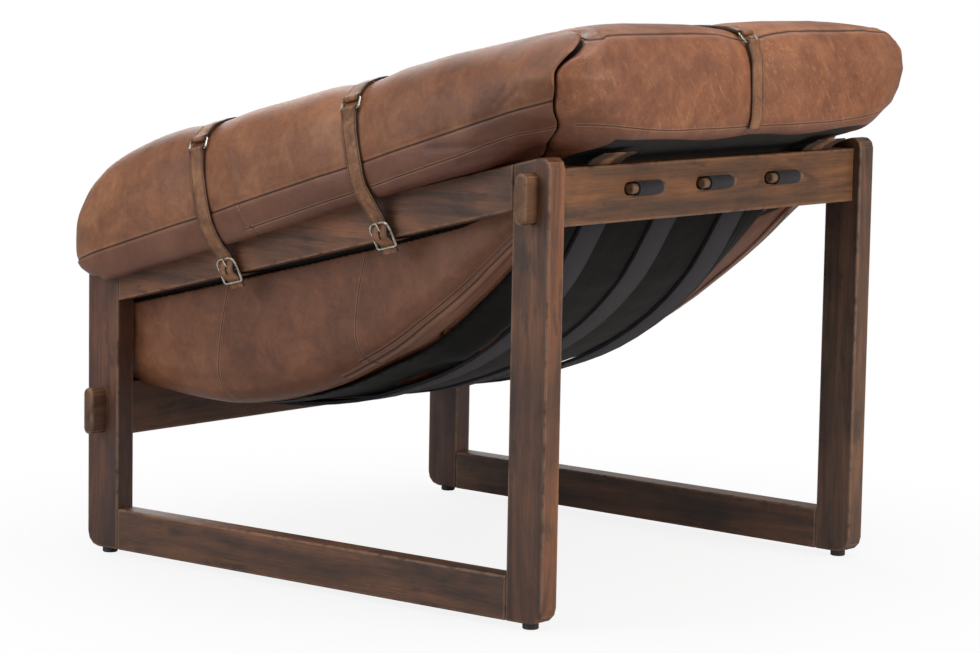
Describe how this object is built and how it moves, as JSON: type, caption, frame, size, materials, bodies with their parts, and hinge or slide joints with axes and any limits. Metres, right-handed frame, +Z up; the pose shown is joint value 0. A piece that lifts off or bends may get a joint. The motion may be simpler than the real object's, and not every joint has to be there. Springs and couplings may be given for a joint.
{
  "type": "lounge chair",
  "caption": "Low lounge chair: toed wooden side frames, webbing slung on wooden toggles, and thick leather cushions rolled over the rails under buckled straps.",
  "frame": {"origin": "on the floor, under the middle of the chair's overall width and depth", "axes": "+Z up, -Y towards the chair's front, +X towards the sitter's left"},
  "size_m": [0.8428, 0.8868, 0.7535],
  "materials": {
    "wood": "dark walnut stain under satin oil",
    "peg": "bare pale dowel",
    "leather": "brown pull-up leather, lightly scuffed",
    "strap": "brown strap leather with stitched edges",
    "webbing": "dark woven webbing",
    "lining": "black woven lining",
    "metal": "antique nickel",
    "glide": "black moulded plastic"
  },
  "bodies": {
    "chair": {"arm_cushion_left": "leather", "arm_cushion_right": "leather", "back_cushion": "leather", "bottom_rail_left": "wood", "bottom_rail_right": "wood", "buckle_front_left": "metal", "buckle_front_right": "metal", "buckle_rear_left": "metal", "buckle_rear_right": "metal", "corner_tab_left": "strap", "corner_tab_right": "strap", "front_cross_rail": "wood", "front_post_left": "wood", "front_post_right": "wood", "glide_front_left": "glide", "glide_front_right": "glide", "glide_rear_left": "glide", "glide_rear_right": "glide", "lower_strap_arm_front_left": "strap", "lower_strap_arm_front_right": "strap", "lower_strap_arm_rear_left": "strap", "lower_strap_arm_rear_right": "strap", "lower_strap_back": "strap", "rear_cross_rail": "wood", "rear_post_left": "wood", "rear_post_right": "wood", "seat_cushion": "leather", "seat_lining": "lining", "strap_ring_arm_front_left": "metal", "strap_ring_arm_front_right": "metal", "strap_ring_arm_rear_left": "metal", "strap_ring_arm_rear_right": "metal", "strap_ring_back": "metal", "tab_screw_left": "metal", "tab_screw_right": "metal", "tail_strap_front_left": "strap", "tail_strap_front_right": "strap", "tail_strap_rear_left": "strap", "tail_strap_rear_right": "strap", "toggle_peg_front_1": "peg", "toggle_peg_front_2": "peg", "toggle_peg_front_3": "peg", "toggle_peg_rear_1": "peg", "toggle_peg_rear_2": "peg", "toggle_peg_rear_3": "peg", "top_rail_left": "wood", "top_rail_right": "wood", "upper_strap_arm_front_left": "strap", "upper_strap_arm_front_right": "strap", "upper_strap_arm_rear_left": "strap", "upper_strap_arm_rear_right": "strap", "upper_strap_back": "strap", "webbing_strap_1": "webbing", "webbing_strap_2": "webbing", "webbing_strap_3": "webbing"},
    "prong_front_left_body": {"prong_front_left": "metal"},
    "prong_rear_left_body": {"prong_rear_left": "metal"},
    "prong_front_right_body": {"prong_front_right": "metal"},
    "prong_rear_right_body": {"prong_rear_right": "metal"}
  },
  "joints": [
    {"name": "prong_front_left_hinge", "type": "hinge", "parent": "chair", "child": "prong_front_left_body", "pos_m": [0.38228, -0.13895, 0.41464], "axis": [-0.023, 0.9706, 0.2397], "range_deg": [0, 60]},
    {"name": "prong_rear_left_hinge", "type": "hinge", "parent": "chair", "child": "prong_rear_left_body", "pos_m": [0.37597, 0.12705, 0.48033], "axis": [-0.023, 0.9706, 0.2397], "range_deg": [0, 60]},
    {"name": "prong_front_right_hinge", "type": "hinge", "parent": "chair", "child": "prong_front_right_body", "pos_m": [-0.38228, -0.13895, 0.41464], "axis": [-0.023, -0.9706, -0.2397], "range_deg": [0, 60]},
    {"name": "prong_rear_right_hinge", "type": "hinge", "parent": "chair", "child": "prong_rear_right_body", "pos_m": [-0.37597, 0.12705, 0.48033], "axis": [-0.023, -0.9706, -0.2397], "range_deg": [0, 60]}
  ]
}
